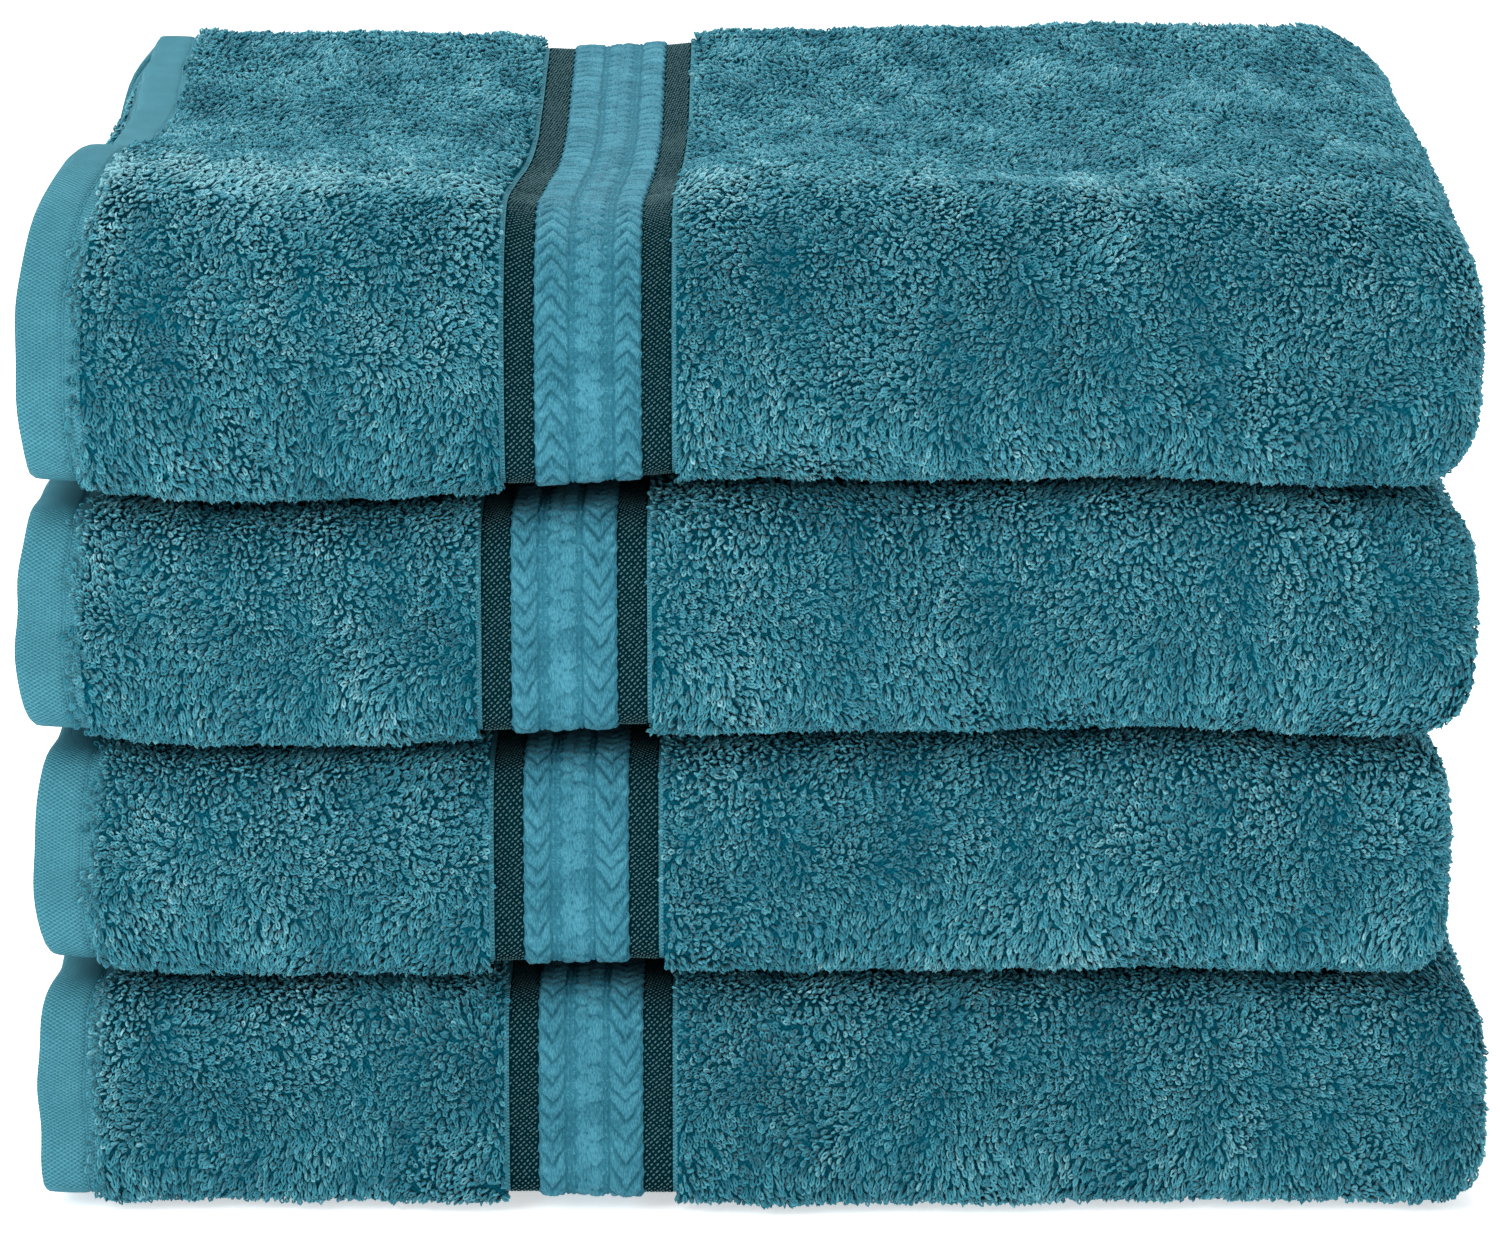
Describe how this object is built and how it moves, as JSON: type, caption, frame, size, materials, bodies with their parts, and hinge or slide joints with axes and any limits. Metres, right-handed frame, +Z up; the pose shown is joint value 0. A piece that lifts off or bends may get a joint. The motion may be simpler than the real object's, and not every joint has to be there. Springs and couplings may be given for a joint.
{
  "type": "bath towel set",
  "caption": "Stack of folded terry bath towels, each with a stitched end hem, a woven border of dark stripes round a braided band, and soft rounded folds.",
  "frame": {"origin": "centre of the base of the lowest towel's box, on the surface that the stack stands on", "axes": "+X along the cloth from the hemmed ends to the folds, +Y from the rounded fronts to the back, +Z up through the stack"},
  "size_m": [0.3492, 0.256, 0.2553],
  "materials": {
    "terry_pile": "deep teal cotton terry of looped pile, soft and matt with a light sheen",
    "hem_weave": "flat teal cotton weave, matt",
    "hem_thread": "teal sewing thread, slightly glossy",
    "dark_stripe": "dark green-grey twill with fine pale dashes, matt",
    "braid_weave": "raised teal dobby braid of chevrons and ovals, soft satin"
  },
  "bodies": {
    "towel_1": {"towel_1_end_hem": "hem_weave", "towel_1_hem_stitching": "hem_thread", "towel_1_end_terry": "terry_pile", "towel_1_outer_stripe": "dark_stripe", "towel_1_braid": "braid_weave", "towel_1_inner_stripe": "dark_stripe", "towel_1_outer_terry": "terry_pile", "towel_1_inner_terry": "terry_pile", "towel_1_far_end": "hem_weave"},
    "towel_2": {"towel_2_end_hem": "hem_weave", "towel_2_hem_stitching": "hem_thread", "towel_2_end_terry": "terry_pile", "towel_2_outer_stripe": "dark_stripe", "towel_2_braid": "braid_weave", "towel_2_inner_stripe": "dark_stripe", "towel_2_outer_terry": "terry_pile", "towel_2_inner_terry": "terry_pile", "towel_2_far_end": "hem_weave"},
    "towel_3": {"towel_3_end_hem": "hem_weave", "towel_3_hem_stitching": "hem_thread", "towel_3_end_terry": "terry_pile", "towel_3_outer_stripe": "dark_stripe", "towel_3_braid": "braid_weave", "towel_3_inner_stripe": "dark_stripe", "towel_3_outer_terry": "terry_pile", "towel_3_inner_terry": "terry_pile", "towel_3_far_end": "hem_weave"},
    "towel_4": {"towel_4_end_hem": "hem_weave", "towel_4_hem_stitching": "hem_thread", "towel_4_end_terry": "terry_pile", "towel_4_outer_stripe": "dark_stripe", "towel_4_braid": "braid_weave", "towel_4_inner_stripe": "dark_stripe", "towel_4_outer_terry": "terry_pile", "towel_4_inner_terry": "terry_pile", "towel_4_far_end": "hem_weave"}
  },
  "joints": [
    {"name": "towel_2_lift", "type": "slide", "parent": "towel_1", "child": "towel_2", "axis": [0, 0, 1], "range_m": [0, 0.1]},
    {"name": "towel_3_lift", "type": "slide", "parent": "towel_2", "child": "towel_3", "axis": [0, 0, 1], "range_m": [0, 0.1]},
    {"name": "towel_4_lift", "type": "slide", "parent": "towel_3", "child": "towel_4", "axis": [0, 0, 1], "range_m": [0, 0.1]}
  ]
}
